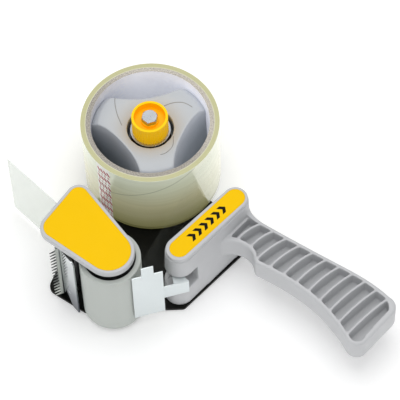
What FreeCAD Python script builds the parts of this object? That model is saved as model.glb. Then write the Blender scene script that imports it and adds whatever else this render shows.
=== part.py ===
"""Tape gun dispenser: steel side plate, tape hub, front roller, serrated blade, tape leaf and pistol grip.

Millimetres. The origin is on the tape roll's axis at the underside of the side plate. +Z is the roll's
axis, the head with its roller lies towards -Y, and the grip runs towards +X.
"""

import FreeCAD, Part
import math
import os

from FreeCAD import Vector

# ---- driving dimensions -------------------------------------------------------------------------
TAPE_WIDTH = 60.0
CORE_INNER_R = 38.1
CORE_OUTER_R = 41.0
TAPE_OUTER_R = 44.4
FILM = 0.2
TAIL_ANGLE = 176.6
TAIL_LENGTH = 69.5

PLATE = 2.0
TAPE_Z = 4.0
TAPE_TOP = TAPE_Z + TAPE_WIDTH
RUN = 0.05
FIT = 0.02

SCREW_R = 2.0
SCREW_HEAD_R = 3.8
HEAD_DEPTH = 1.7
TAPPED = 10.0

ROLLER_X, ROLLER_Y = 47.3, -88.4
ROLLER_R = 19.4
ROLLER_Z0, ROLLER_Z1 = 3.5, 62.0
ROLLER_WALL = 3.2
ROLLER_ROUND = 0.6
AXLE_R = 4.0
BUSH_BOSS_R = AXLE_R + 2.2
BUSH_LENGTH = 8.0
BUSH_INSETS = (4.0, 48.0)

COVER_Z = 65.8
COVER_TOP = 70.0
COVER_CORNERS = [(5.8, -71.7, 8.0), (10.8, -97.3, 10.0), (ROLLER_X, ROLLER_Y, 15.8)]
COVER_SKIN = 1.8
COVER_RIM = 1.6
COVER_ROUND = 0.9
COVER_BOSS_R = 5.0
LABEL_INSET = 2.1
LABEL = 0.3
LABEL_GAP = 0.1

POST_X, POST_Y = COVER_CORNERS[0][0], COVER_CORNERS[0][1]
COVER_SCREWS = [(POST_X, POST_Y), (14.0, -97.0), (ROLLER_X, ROLLER_Y)]
GUIDE_X, GUIDE_Y = 20.0, -88.8
GUIDE_R = 4.75

BEND_X, BEND_Y = 19.3, -105.1
PANEL_ANGLE = -10.2
PANEL_LENGTH = 15.2
PANEL_TOP = 63.5
PANEL_CORNER = 3.0
TAB_START = 9.2
HOLDER = 1.0
LIP_ANGLE = 235.0
LIP_LENGTH = 2.1
WALL = 1.5
WALL_START, WALL_END = 0.9, 13.2
FOOT = [(11.0, -103.2), (21.5, -103.2), (24.5, -101.5), (24.5, -95.0), (11.0, -94.0)]
BRACKET_SCREW = (17.5, -97.5)
HOLDER_RIVETS = (16.0, 50.0)
HOLDER_RIVET_S = 7.0
HOLDER_RIVET_R = 1.6
HOLDER_RIVET_HEAD = 1.2

BLADE = 0.6
BLADE_START = 0.2
BLADE_REACH = 5.9
BLADE_Z0, BLADE_Z1 = 5.6, 63.4
TOOTH_PITCH = 2.75
TOOTH_DEPTH = 3.8
TOOTH_SHARE = 0.6
TOOTH_RAKE = 3.0
BLADE_RIVETS = (12.0, 33.0, 54.0)
BLADE_RIVET_R = 0.5
BLADE_RIVET_S = 1.1

STALK_NEAR = (72.5, -52.4)
STALK_FAR = (74.3, -2.2)
STALK_FOOT = [(72.9, -54.6, 9.8), (74.2, -2.2, 9.5)]
STALK_HEAD = [(STALK_NEAR[0], STALK_NEAR[1], 9.2), (STALK_FAR[0], STALK_FAR[1], 8.5)]
STALK_TOP = 52.0
CAVITY_R = 6.0
CAVITY_START = 16.0
CAVITY_FLOOR = PLATE + 3.0
CAP_INSET = 0.5
CAP_TOP = 55.0
CAP_ROUND = 0.8
CAP_PLUG = 4.0
CAP_PLUG_WALL = 1.5
HANDLE_LABEL_R = 6.2
HANDLE_SCREWS_ALONG = (19.5, 43.5)
INSERT_R = 3.4
INSERT_BOSS_R = 5.5
INSERT_BOSS = 14.0

RECESS_Z0, RECESS_Z1 = 19.6, 35.0
RECESS = [(58.0, -57.8), (70.5, -54.8), (72.0, -46.6), (90.0, -46.6), (90.0, -72.0), (58.0, -72.0)]

GRIP_Z0, GRIP_Z1 = 20.5, 39.0
GRIP_ROOT = (81.0, -34.0)
GRIP_ROOT_X = 76.0
GRIP_FAR = [(109.0, 5.2), (147.0, 11.6), (168.0, 14.8)]
GRIP_FAR_SLOPE = 0.131
GRIP_TIP_FAR = (188.5, 7.0, 8.0)
GRIP_TIP_NEAR = (189.0, -18.4, 7.5)
GRIP_NEAR = [(182.5, -23.8), (171.0, -20.4), (156.0, -17.8), (140.0, -17.5), (109.0, -22.0)]
FAIRING = [(106.4, -20.8), (100.8, -17.4), (93.2, -17.6)]
GRIP_ROUND = 1.5
GRIP_WALL = 2.6
GRIP_WEB = 2.0
POCKET_CORNER = (84.6, -18.0)
POCKET_TIP_FAR = (183.5, 1.6, 13.4)
RIB = 1.6
RIB_COUNT = 11
RIB_FIRST_X = 92.6
RIB_PITCH = 9.36
RIB_SLANTS = (12.5, 4.5)
RIB_CROWN = 3.0
RIB_ROOT = 0.6

LEAF_X, LEAF_Y = 67.9, -91.5
LEAF_ANGLE = 57.5
LEAF = 0.8
LEAF_Z0, LEAF_Z1 = 11.7, 62.0
LEAF_START, LEAF_END = 0.6, 20.4
TAB_Z1 = 71.5
TAB_S0, TAB_S1 = 6.8, 14.6
ARM_Z0, ARM_Z1 = 20.4, 34.0
ARM_BACK = 4.2
ARM_END = 37.6
EAR_START = 27.8
EAR_R = 3.2
PIN_ALONG, PIN_DEPTH = 31.5, 10.5
PIN_R = 1.25
PIN_BEARING = 7.0
LEAF_SPRING_R = 2.3
LEAF_SPRING_WIRE = 0.7
LEAF_SPRING_HALVES = 16

POST_R = 6.0
POST_FLANGE_R = 14.0
POST_FLANGE_TOP = 5.0
POST_TOP = 52.0
POST_SCREW_R, POST_SCREW_HEAD_R = 1.5, 3.0
POST_SCREW_TOP = 4.8
POST_SCREWS_OUT = 10.2
HUB_Z0 = 6.0
HUB_R = CORE_INNER_R - RUN
HUB_FLOOR = 43.0
HUB_RIM = 56.5
HUB_SHOULDER = 54.0
HUB_CREST_R, HUB_CREST = 25.0, 59.4
HUB_EDGE_R, HUB_EDGE = 33.6, 58.6
HUB_WELL_R = 15.0
HUB_BUSH_R = 8.0
HUB_DISC = 2.0
VANE_ANGLES = (-40.0, 80.0, 200.0)
VANE_HALF, VANE_FOOT_HALF = 15.3, 21.0
WAIST_R, WAIST_FOOT_R = 20.5, 28.5
FRICTION_TOP = HUB_FLOOR + 1.05
BRAKE_WASHER_R = 13.0
WASHER_Z0, WASHER_Z1 = 53.6, 54.8
BRAKE_SPRING_R = 8.6
BRAKE_SPRING_WIRE = 1.4
BRAKE_SPRING_HALVES = 9
KNOB_Z0, KNOB_Z1 = 54.85, 70.0
KNOB_R = 11.7
KNOB_RIM = 1.6
KNOB_DISH = 5.0
KNOB_BOSS_R = 5.6
KNOB_GROOVES = 36
KNOB_GROOVE_R = 0.6
BOLT_R = 3.0
BOLT_END = 32.0
BOLT_HEAD = 3.0
BOLT_ACROSS = 9.4

ORIGIN = Vector(0, 0, 0)
UP = Vector(0, 0, 1)


# ---- small tools --------------------------------------------------------------------------------
def cylinder(r, z0, z1, x=0.0, y=0.0):
    return Part.makeCylinder(r, z1 - z0, Vector(x, y, z0))


def tube(outer, inner, z0, z1, x=0.0, y=0.0):
    return cylinder(outer, z0, z1, x, y).cut(cylinder(inner, z0 - 1, z1 + 1, x, y))


def polar(angle, r=1.0, x=0.0, y=0.0):
    a = math.radians(angle)
    return Vector(x + r * math.cos(a), y + r * math.sin(a), 0)


def arc(cx, cy, r, start, end):
    middle = (start + end) / 2
    return Part.Arc(polar(start, r, cx, cy), polar(middle, r, cx, cy), polar(end, r, cx, cy)).toShape()


def line(a, b):
    return Part.makeLine(a, b)


def prism(edges, z0, z1):
    wire = Part.Wire(Part.__sortEdges__(edges))
    face = Part.Face(wire)
    face.translate(Vector(0, 0, z0))
    return face.extrude(Vector(0, 0, z1 - z0))


def polygon(points, z0, z1):
    corners = [Vector(x, y, 0) for x, y in points]
    edges = [line(a, b) for a, b in zip(corners, corners[1:] + corners[:1])]
    return prism(edges, z0, z1)


def direction(a, b):
    return math.degrees(math.atan2(b[1] - a[1], b[0] - a[0]))


def belt(circles, grow=0.0):
    """The edges of a tight belt round the circles, given anticlockwise as (x, y, r)."""
    circles = [(x, y, r + grow) for x, y, r in circles]
    count = len(circles)
    normals = []
    for i in range(count):
        a, b = circles[i], circles[(i + 1) % count]
        reach = math.hypot(b[0] - a[0], b[1] - a[1])
        normals.append(direction(a, b) - math.degrees(math.acos((a[2] - b[2]) / reach)))
    edges = []
    for i in range(count):
        x, y, r = circles[i]
        start = normals[i - 1]
        end = normals[i]
        while end <= start:
            end += 360
        edges.append(arc(x, y, r, start, end))
        nx, ny, nr = circles[(i + 1) % count]
        edges.append(line(polar(end, r, x, y), polar(end, nr, nx, ny)))
    return edges


def hull(circles, z0, z1, grow=0.0):
    return prism(belt(circles, grow), z0, z1)


def along(x, y, angle, s, t):
    """The point s along a line and t to its left."""
    a = math.radians(angle)
    return Vector(x + s * math.cos(a) - t * math.sin(a), y + s * math.sin(a) + t * math.cos(a), 0)


def top_edges(shape, z):
    return [e for e in shape.Edges if min(v.Z for v in e.Vertexes) > z - 0.01]


def hexagon(across, z0, z1, x=0.0, y=0.0):
    r = across / math.cos(math.radians(30)) / 2
    corners = [polar(60 * i, r, x, y) for i in range(6)]
    return polygon([(p.x, p.y) for p in corners], z0, z1)


def countersink(x, y, shank, head):
    """The space of a flush screw in the plate, with its head at the underside."""
    cone = Part.makeCone(head, shank, HEAD_DEPTH, Vector(x, y, 0))
    return cone.fuse(cylinder(shank, HEAD_DEPTH, PLATE, x, y)).removeSplitter()


def flush_screw(x, y, shank, head, top):
    """A countersunk screw from below: cone head in the plate, shank up to top, hexagon socket."""
    foot = 2 * RUN
    widest = head - RUN - foot * (head - shank) / HEAD_DEPTH
    cone = Part.makeCone(widest, shank - RUN, HEAD_DEPTH - foot, Vector(x, y, foot))
    shape = cone.fuse(cylinder(shank - RUN, HEAD_DEPTH, top, x, y)).removeSplitter()
    return shape.cut(hexagon(shank, 0.0, 1.2, x, y))


def coil(radius, wire, z0, z1, halves, x=0.0, y=0.0):
    """Round wire between two heights, in tilted half turns that run smoothly into each other."""
    rise = (z1 - z0 - wire) / halves
    tilt = math.degrees(math.atan2(rise / 2, radius))
    pieces = []
    for i in range(halves):
        half = Part.makeTorus(math.hypot(radius, rise / 2), wire / 2, ORIGIN, UP, -180, 180, 180)
        half.rotate(ORIGIN, Vector(0, 1, 0), tilt)
        half.rotate(ORIGIN, UP, 180 * i)
        half.translate(Vector(x, y, z0 + wire / 2 + rise * (i + 0.5)))
        pieces.append(half)
    return pieces[0].fuse(pieces[1:]).removeSplitter()


# ---- frame --------------------------------------------------------------------------------------
def stalk_point(s):
    """The point s along the stalk's long axis from its near end."""
    angle = direction(STALK_NEAR, STALK_FAR)
    point = along(STALK_NEAR[0], STALK_NEAR[1], angle, s, 0)
    return point.x, point.y


HANDLE_SCREWS = [stalk_point(s) for s in HANDLE_SCREWS_ALONG]
PLATE_SCREWS = HANDLE_SCREWS + [(ROLLER_X, ROLLER_Y), (POST_X, POST_Y), (GUIDE_X, GUIDE_Y), BRACKET_SCREW]
POST_SCREWS = [polar(angle, POST_SCREWS_OUT)[:2] for angle in (90, 210, 330)]


def side_plate():
    """The steel plate: round about the tape hub, wide under the handle, narrow under the head."""
    hub_end = hull([(0, 0, 30), (12.3, -102.2, 6.3), (36.6, -102.9, 2.5)], 0, PLATE)
    handle_end = hull([(0, 0, 8.5), (36.6, -102.9, 2.5), (80.3, -60.3, 3.0), (81.2, 4.5, 4.0)], 0, PLATE)
    plate = hub_end.fuse(handle_end).removeSplitter()
    slot = panel_block(TAB_START - 0.2, PANEL_LENGTH + 0.2, -4.0, HOLDER + FIT, -1, PLATE + 1)
    plate = plate.cut(slot)
    for x, y in PLATE_SCREWS:
        plate = plate.cut(countersink(x, y, SCREW_R, SCREW_HEAD_R))
    for x, y in POST_SCREWS:
        plate = plate.cut(countersink(x, y, POST_SCREW_R, POST_SCREW_HEAD_R))
    return plate


def screw_post(x, y, r, top):
    """A round steel post that stands on the plate, tapped at both ends."""
    post = cylinder(r, PLATE, top, x, y)
    post = post.cut(cylinder(SCREW_R, PLATE, PLATE + TAPPED, x, y))
    return post.cut(cylinder(SCREW_R, top - TAPPED, top, x, y))


def roller_axle():
    return screw_post(ROLLER_X, ROLLER_Y, AXLE_R, COVER_Z)


def cover_post():
    return screw_post(POST_X, POST_Y, AXLE_R, COVER_Z)


def guide_post():
    """The plain post that the tape turns back on, tapped at its foot."""
    post = cylinder(GUIDE_R, PLATE, COVER_Z - 0.5, GUIDE_X, GUIDE_Y)
    return post.cut(cylinder(SCREW_R, PLATE, PLATE + TAPPED, GUIDE_X, GUIDE_Y))


# ---- blade and its holder -----------------------------------------------------------------------
def panel_block(s0, s1, t0, t1, z0, z1):
    """A block set square to the holder's panel, s along it and t behind its front face."""
    corners = [along(BEND_X, BEND_Y, PANEL_ANGLE, s, t) for s, t in ((s0, t0), (s1, t0), (s1, t1), (s0, t1))]
    return polygon([(p.x, p.y) for p in corners], z0, z1)


def panel_bar(s, z, r, start=-1.0, length=6.0):
    """A round bar square to the holder's panel that starts this far behind its front face."""
    base = along(BEND_X, BEND_Y, PANEL_ANGLE, s, start)
    axis = along(0, 0, PANEL_ANGLE, 0, 1)
    return Part.makeCylinder(r, length, Vector(base.x, base.y, z), axis)


def lip_bar(z, r, start=-1.5, length=4.0):
    """A round bar square to the holder's lip."""
    base = along(BEND_X, BEND_Y, LIP_ANGLE, BLADE_RIVET_S, start)
    axis = along(0, 0, LIP_ANGLE, 0, 1)
    return Part.makeCylinder(r, length, Vector(base.x, base.y, z), axis)


def head_bracket():
    """Bent sheet: an upright wall behind the blade holder, with a foot and a top flange turned inwards."""
    wall = panel_block(WALL_START, WALL_END, HOLDER, HOLDER + WALL, PLATE, COVER_Z)
    foot = polygon(FOOT, PLATE, PLATE + WALL)
    flange = polygon(FOOT, COVER_Z - WALL, COVER_Z)
    bracket = wall.fuse([foot, flange]).removeSplitter()
    x, y = BRACKET_SCREW
    bracket = bracket.cut(cylinder(SCREW_R, PLATE, PLATE + WALL, x, y))
    x, y = COVER_SCREWS[1]
    bracket = bracket.cut(cylinder(SCREW_R, COVER_Z - WALL, COVER_Z, x, y))
    for z in HOLDER_RIVETS:
        bracket = bracket.cut(panel_bar(HOLDER_RIVET_S, z, HOLDER_RIVET_R))
    return bracket


def blade_holder():
    """Polished sheet with a lip for the blade, a flat panel and a rounded free corner at the top."""
    bend = Vector(BEND_X, BEND_Y, 0)
    panel_end = along(BEND_X, BEND_Y, PANEL_ANGLE, PANEL_LENGTH, 0)
    panel_back = along(BEND_X, BEND_Y, PANEL_ANGLE, PANEL_LENGTH, HOLDER)
    lip_end = along(BEND_X, BEND_Y, LIP_ANGLE, LIP_LENGTH, 0)
    lip_back = along(BEND_X, BEND_Y, LIP_ANGLE, LIP_LENGTH, -HOLDER)
    half = (PANEL_ANGLE + 360 - LIP_ANGLE) / 2
    shift = HOLDER / math.sin(math.radians(half))
    back = along(BEND_X, BEND_Y, PANEL_ANGLE - half + 180, shift, 0)
    outline = [lip_end, bend, panel_end, panel_back, back, lip_back]
    sheet = polygon([(p.x, p.y) for p in outline], 0, PANEL_TOP)
    sheet = sheet.cut(panel_block(-9.0, TAB_START, -9.0, 4.0, -1, PLATE))
    centre = PANEL_LENGTH - PANEL_CORNER
    corner = panel_block(centre, PANEL_LENGTH + 1, -1, 3, PANEL_TOP - PANEL_CORNER, PANEL_TOP + 1)
    sheet = sheet.cut(corner.cut(panel_bar(centre, PANEL_TOP - PANEL_CORNER, PANEL_CORNER)))
    for z in HOLDER_RIVETS:
        sheet = sheet.cut(panel_bar(HOLDER_RIVET_S, z, HOLDER_RIVET_R))
    for z in BLADE_RIVETS:
        sheet = sheet.cut(lip_bar(z, BLADE_RIVET_R))
    return sheet


def holder_rivets():
    """Two rivets, flush on the polished face, with flat heads inside the bracket."""
    rivets = []
    behind = HOLDER + WALL
    for z in HOLDER_RIVETS:
        shank = panel_bar(HOLDER_RIVET_S, z, HOLDER_RIVET_R - FIT, 0.0, behind)
        head = panel_bar(HOLDER_RIVET_S, z, HOLDER_RIVET_R + HOLDER_RIVET_HEAD, behind, 1.0)
        rivets.append(shank.fuse(head).removeSplitter())
    return Part.makeCompound(rivets)


def cutting_blade():
    """A steel strip on the outer face of the holder's lip, with slender teeth that rake downwards."""
    start = along(BEND_X, BEND_Y, LIP_ANGLE, BLADE_START, 0)
    step = along(0, 0, LIP_ANGLE, 1, 0)
    side = along(0, 0, LIP_ANGLE, 0, BLADE)
    width = BLADE_REACH - BLADE_START
    count = round((BLADE_Z1 - BLADE_Z0) / TOOTH_PITCH)
    pitch = (BLADE_Z1 - BLADE_Z0) / count
    outline = [(0.0, BLADE_Z0)]
    for i in range(count):
        foot = BLADE_Z0 + i * pitch
        outline.append((width - TOOTH_DEPTH, foot))
        outline.append((width, foot + TOOTH_SHARE / 2 * pitch - TOOTH_RAKE))
        outline.append((width - TOOTH_DEPTH, foot + TOOTH_SHARE * pitch))
    outline.append((width - TOOTH_DEPTH, BLADE_Z1))
    outline.append((0.0, BLADE_Z1))
    points = [start + step * s + UP * z for s, z in outline]
    face = Part.Face(Part.makePolygon(points + points[:1]))
    blade = face.extrude(side)
    for z in BLADE_RIVETS:
        blade = blade.cut(lip_bar(z, BLADE_RIVET_R))
    return blade


def blade_rivets():
    """Three small rivets, ground flush, that join the blade to the holder's lip."""
    bars = [lip_bar(z, BLADE_RIVET_R - FIT, -HOLDER, HOLDER + BLADE) for z in BLADE_RIVETS]
    return Part.makeCompound(bars)


# ---- head cover ---------------------------------------------------------------------------------
def head_cover():
    """A moulded cap on three screws, with a recess for its label."""
    cap = hull(COVER_CORNERS, COVER_Z, COVER_TOP)
    cap = cap.makeFillet(COVER_ROUND, top_edges(cap, COVER_TOP))
    hollow = hull(COVER_CORNERS, COVER_Z - 1, COVER_TOP - COVER_SKIN, -COVER_RIM)
    for x, y in COVER_SCREWS:
        hollow = hollow.cut(cylinder(COVER_BOSS_R, COVER_Z - 1, COVER_TOP, x, y))
    cap = cap.cut(hollow)
    seat = COVER_TOP - LABEL
    cap = cap.cut(hull(COVER_CORNERS, seat, COVER_TOP + 1, -LABEL_INSET))
    for x, y in COVER_SCREWS:
        head = Part.makeCone(SCREW_R, SCREW_HEAD_R, COVER_SKIN, Vector(x, y, seat - COVER_SKIN))
        shank = cylinder(SCREW_R + RUN, COVER_Z - 1, seat - COVER_SKIN, x, y)
        cap = cap.cut(head.fuse(shank))
    return cap


def head_label():
    return hull(COVER_CORNERS, COVER_TOP - LABEL, COVER_TOP, -LABEL_INSET - LABEL_GAP)


def cover_screws():
    """Three countersunk screws under the label."""
    screws = []
    top = COVER_TOP - LABEL - 2 * RUN
    for (x, y), length in zip(COVER_SCREWS, (12.0, 7.0, 12.0)):
        neck = top - HEAD_DEPTH
        head = Part.makeCone(SCREW_R - RUN, SCREW_HEAD_R - 3 * RUN, HEAD_DEPTH, Vector(x, y, neck))
        shank = cylinder(SCREW_R - RUN, top - length, neck, x, y)
        slot = hexagon(SCREW_R, top - 1.0, top + 1, x, y)
        screws.append(head.fuse(shank).removeSplitter().cut(slot))
    return Part.makeCompound(screws)


def plate_screws():
    """Six countersunk screws that enter from the plate's underside."""
    tops = [PLATE + 8.0] * 2 + [PLATE + 8.5] * 3 + [PLATE + WALL]
    return Part.makeCompound([flush_screw(x, y, SCREW_R, SCREW_HEAD_R, top)
                              for (x, y), top in zip(PLATE_SCREWS, tops)])


# ---- handle -------------------------------------------------------------------------------------
def stadium(r, start=0.0):
    """Two circles on the stalk's long axis: one this far from its near end and one at its far end."""
    x, y = stalk_point(start)
    return [(x, y, r), (STALK_FAR[0], STALK_FAR[1], r)]


def stalk():
    """A round-ended column that narrows from the foot to the top."""
    wires = []
    for circles, z in ((STALK_FOOT, PLATE), (STALK_HEAD, STALK_TOP)):
        wire = Part.Wire(Part.__sortEdges__(belt(circles)))
        wire.translate(UP * z)
        wires.append(wire)
    return Part.makeLoft(wires, True, True)


def grip_outline(inset, root, root_x, tip_far):
    """The grip's outline, drawn in by inset: two swept sides and a flared tip with rounded corners."""
    far_x, far_y, far_r = tip_far
    near_x, near_y, near_r = GRIP_TIP_NEAR
    far_r -= inset
    near_r -= inset
    tip = direction((near_x, near_y), (far_x, far_y)) - 90
    tip += math.degrees(math.asin((far_r - near_r) / math.hypot(far_x - near_x, far_y - near_y)))
    first_x, first_y = GRIP_FAR[0]
    first = (root_x, first_y - GRIP_FAR_SLOPE * (first_x - root_x))
    far = [Vector(x, y - inset, 0) for x, y in [first] + GRIP_FAR]
    near = [Vector(x, y + inset, 0) for x, y in GRIP_NEAR]
    fairing = [Vector(x, y + inset, 0) for x, y in FAIRING] + [Vector(root[0], root[1], 0)]
    far_end, near_end = 100, -112
    upper = Part.BSplineCurve()
    upper.interpolate(far + [polar(far_end, far_r, far_x, far_y)])
    lower = Part.BSplineCurve()
    lower.interpolate([polar(near_end, near_r, near_x, near_y)] + near)
    sweep = Part.BSplineCurve()
    sweep.interpolate(fairing)
    edges = [upper.toShape(), arc(far_x, far_y, far_r, far_end, tip),
             line(polar(tip, far_r, far_x, far_y), polar(tip, near_r, near_x, near_y)),
             arc(near_x, near_y, near_r, tip, near_end), lower.toShape(),
             line(near[-1], fairing[0]), sweep.toShape()]
    closing = [fairing[-1], Vector(root_x, root[1], 0), far[0]]
    edges += [line(a, b) for a, b in zip(closing, closing[1:]) if (b - a).Length > 1e-6]
    return edges


def pocket_outline(inset):
    return grip_outline(inset, POCKET_CORNER, POCKET_CORNER[0], POCKET_TIP_FAR)


def grip_ribs():
    """Cross ribs crowned on both faces: level with the rim at their ends and proud in the middle."""
    middle = (GRIP_Z0 + GRIP_Z1) / 2
    half = (GRIP_Z1 - GRIP_Z0) / 2
    within = prism(pocket_outline(GRIP_WALL - RIB_ROOT), GRIP_Z0 - RIB_CROWN, GRIP_Z1 + RIB_CROWN)
    long = 100.0
    ribs = []
    for i in range(RIB_COUNT):
        slab = Part.makeBox(RIB, long, 2 * (half + RIB_CROWN), Vector(-RIB / 2, -long / 2, -half - RIB_CROWN))
        slant = RIB_SLANTS[0] + (RIB_SLANTS[1] - RIB_SLANTS[0]) * i / (RIB_COUNT - 1)
        slab.rotate(ORIGIN, UP, -slant)
        slab.translate(Vector(RIB_FIRST_X + i * RIB_PITCH, 0, middle))
        rib = slab.common(within)
        reach = rib.BoundBox.YLength / 2
        centre = rib.BoundBox.Center
        bow = (reach ** 2 + RIB_CROWN ** 2) / (2 * RIB_CROWN)
        for z in (half + RIB_CROWN - bow, bow - half - RIB_CROWN):
            barrel = Part.makeCylinder(bow, 40, Vector(centre.x - 20, centre.y, middle + z), Vector(1, 0, 0))
            rib = rib.common(barrel)
        ribs.append(rib)
    return ribs


def grip():
    """Open moulded grip: rim, mid web and ribs."""
    middle = (GRIP_Z0 + GRIP_Z1) / 2
    body = prism(grip_outline(0.0, GRIP_ROOT, GRIP_ROOT_X, GRIP_TIP_FAR), GRIP_Z0, GRIP_Z1)
    rims = [e for e in body.Edges if e.BoundBox.ZLength < 0.01 and e.BoundBox.XMax > GRIP_ROOT[0] + 1]
    body = body.makeFillet(GRIP_ROUND, rims)
    upper = prism(pocket_outline(GRIP_WALL), middle + GRIP_WEB / 2, GRIP_Z1 + 1)
    lower = prism(pocket_outline(GRIP_WALL), GRIP_Z0 - 1, middle - GRIP_WEB / 2)
    return body.cut(upper).cut(lower).fuse(grip_ribs())


def handle_body():
    """Hollow stalk that stands on the plate, moulded in one with the grip."""
    body = stalk().fuse(grip())
    cavity = hull(stadium(CAVITY_R, CAVITY_START), CAVITY_FLOOR, STALK_TOP + 1)
    for x, y in HANDLE_SCREWS:
        cavity = cavity.cut(cylinder(INSERT_BOSS_R, PLATE, PLATE + INSERT_BOSS, x, y))
    body = body.cut(cavity)
    for x, y in HANDLE_SCREWS:
        body = body.cut(cylinder(INSERT_R, PLATE - 1, PLATE + TAPPED + 1, x, y))
    body = body.cut(polygon(RECESS, RECESS_Z0, RECESS_Z1))
    pin = pin_axis()
    hole = cylinder(PIN_R + FIT, RECESS_Z0 - PIN_BEARING, RECESS_Z1 + PIN_BEARING, pin.x, pin.y)
    return body.cut(hole).removeSplitter()


def handle_inserts():
    """Two tapped brass inserts moulded into the foot of the stalk."""
    return Part.makeCompound([tube(INSERT_R - FIT, SCREW_R, PLATE, PLATE + TAPPED, x, y)
                              for x, y in HANDLE_SCREWS])


def handle_cap():
    """The stalk's lid, with a plug that sits in the cavity and a recess for its label."""
    cap = hull(STALK_HEAD, STALK_TOP, CAP_TOP, -CAP_INSET)
    cap = cap.makeFillet(CAP_ROUND, top_edges(cap, CAP_TOP))
    r = CAVITY_R - RUN
    plug = hull(stadium(r, CAVITY_START), STALK_TOP - CAP_PLUG, STALK_TOP)
    plug = plug.cut(hull(stadium(r - CAP_PLUG_WALL, CAVITY_START), STALK_TOP - CAP_PLUG - 1, STALK_TOP))
    cap = cap.fuse(plug).removeSplitter()
    return cap.cut(hull(stadium(HANDLE_LABEL_R + LABEL_GAP), CAP_TOP - LABEL, CAP_TOP + 1))


def handle_label():
    return hull(stadium(HANDLE_LABEL_R), CAP_TOP - LABEL, CAP_TOP)


# ---- tape leaf ----------------------------------------------------------------------------------
def leaf_point(s, t=0.0):
    """s along the leaf from its free edge and t behind its outer face."""
    return along(LEAF_X, LEAF_Y, LEAF_ANGLE, s, t)


def pin_axis():
    return leaf_point(PIN_ALONG, PIN_DEPTH)


def leaf_sheet(outline, z0, z1):
    """A prism over the points (s along the leaf, t behind its outer face)."""
    corners = [leaf_point(s, t) for s, t in outline]
    return polygon([(p.x, p.y) for p in corners], z0, z1)


def flat_sheet(s0, s1, z0, z1, t=0.0):
    return leaf_sheet([(s0, t), (s1, t), (s1, t + LEAF), (s0, t + LEAF)], z0, z1)


def leaf_ear(z0, z1):
    """A flange from the arm back to the pin, round about the pin."""
    pin = pin_axis()
    outline = [(EAR_START, ARM_BACK), (ARM_END, ARM_BACK), (PIN_ALONG + EAR_R, PIN_DEPTH),
               (PIN_ALONG - EAR_R, PIN_DEPTH)]
    ear = leaf_sheet(outline, z0, z1).fuse(cylinder(EAR_R, z0, z1, pin.x, pin.y))
    return ear.removeSplitter().cut(cylinder(PIN_R + RUN, z0 - 1, z1 + 1, pin.x, pin.y))


def tape_leaf():
    """Bent sheet that presses the tape on the roller: a tall pad, a stepped arm and two ears on the pin."""
    pad = flat_sheet(LEAF_START, LEAF_END, LEAF_Z0, LEAF_Z1)
    tab = flat_sheet(TAB_S0, TAB_S1, LEAF_Z1, TAB_Z1)
    step = leaf_sheet([(LEAF_END - LEAF, 0), (LEAF_END, 0), (LEAF_END, ARM_BACK + LEAF),
                       (LEAF_END - LEAF, ARM_BACK + LEAF)], ARM_Z0, ARM_Z1)
    arm = flat_sheet(LEAF_END - LEAF, ARM_END, ARM_Z0, ARM_Z1, ARM_BACK)
    ears = [leaf_ear(ARM_Z0, ARM_Z0 + LEAF), leaf_ear(ARM_Z1 - LEAF, ARM_Z1)]
    return pad.fuse([tab, step, arm] + ears).removeSplitter()


def leaf_pin():
    pin = pin_axis()
    return cylinder(PIN_R, RECESS_Z0 - PIN_BEARING, RECESS_Z1 + PIN_BEARING, pin.x, pin.y)


def leaf_spring():
    """Torsion spring on the pin, between the leaf's ears."""
    pin = pin_axis()
    inside = LEAF + 0.3
    return coil(LEAF_SPRING_R, LEAF_SPRING_WIRE, ARM_Z0 + inside, ARM_Z1 - inside, LEAF_SPRING_HALVES,
                pin.x, pin.y)


# ---- roller -------------------------------------------------------------------------------------
def roller_sleeve():
    sleeve = tube(ROLLER_R, ROLLER_R - ROLLER_WALL, ROLLER_Z0, ROLLER_Z1, ROLLER_X, ROLLER_Y)
    rims = [e for e in sleeve.Edges if e.isClosed() and abs(e.Length - 2 * math.pi * ROLLER_R) < 0.01]
    return sleeve.makeFillet(ROLLER_ROUND, rims)


def roller_bushes():
    """Two webbed bushes inside the sleeve that run on the axle."""
    bushes = []
    inner = ROLLER_R - ROLLER_WALL
    for inset in BUSH_INSETS:
        z0 = TAPE_Z + inset
        z1 = z0 + BUSH_LENGTH
        middle = (z0 + z1) / 2
        rim = tube(inner - FIT, inner - 1.6, z0, z1, ROLLER_X, ROLLER_Y)
        web = cylinder(inner - 1.5, middle - 1, middle + 1, ROLLER_X, ROLLER_Y)
        boss = cylinder(BUSH_BOSS_R, z0 - 1, z1 + 1, ROLLER_X, ROLLER_Y)
        bush = rim.fuse([web, boss]).removeSplitter()
        bushes.append(bush.cut(cylinder(AXLE_R + RUN, z0 - 2, z1 + 2, ROLLER_X, ROLLER_Y)))
    return Part.makeCompound(bushes)


def roller_spacers():
    """Two plain collars pressed on the axle that keep the roller clear of the plate and the cover."""
    low_top = TAPE_Z + BUSH_INSETS[0] - 1.1
    high_foot = TAPE_Z + BUSH_INSETS[1] + BUSH_LENGTH + 1.1
    low = tube(BUSH_BOSS_R, AXLE_R + FIT, PLATE, low_top, ROLLER_X, ROLLER_Y)
    high = tube(BUSH_BOSS_R, AXLE_R + FIT, high_foot, COVER_Z, ROLLER_X, ROLLER_Y)
    return Part.makeCompound([low, high])


# ---- tape hub and brake -------------------------------------------------------------------------
def hub_post():
    """The fixed spindle: a flanged steel post, tapped for the brake bolt at the top."""
    post = cylinder(POST_FLANGE_R, PLATE, POST_FLANGE_TOP)
    post = post.fuse(cylinder(POST_R, POST_FLANGE_TOP, POST_TOP)).removeSplitter()
    for x, y in POST_SCREWS:
        post = post.cut(cylinder(POST_SCREW_R, PLATE, POST_FLANGE_TOP, x, y))
    return post.cut(cylinder(BOLT_R + RUN, BOLT_END - 6, POST_TOP + 1))


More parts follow.
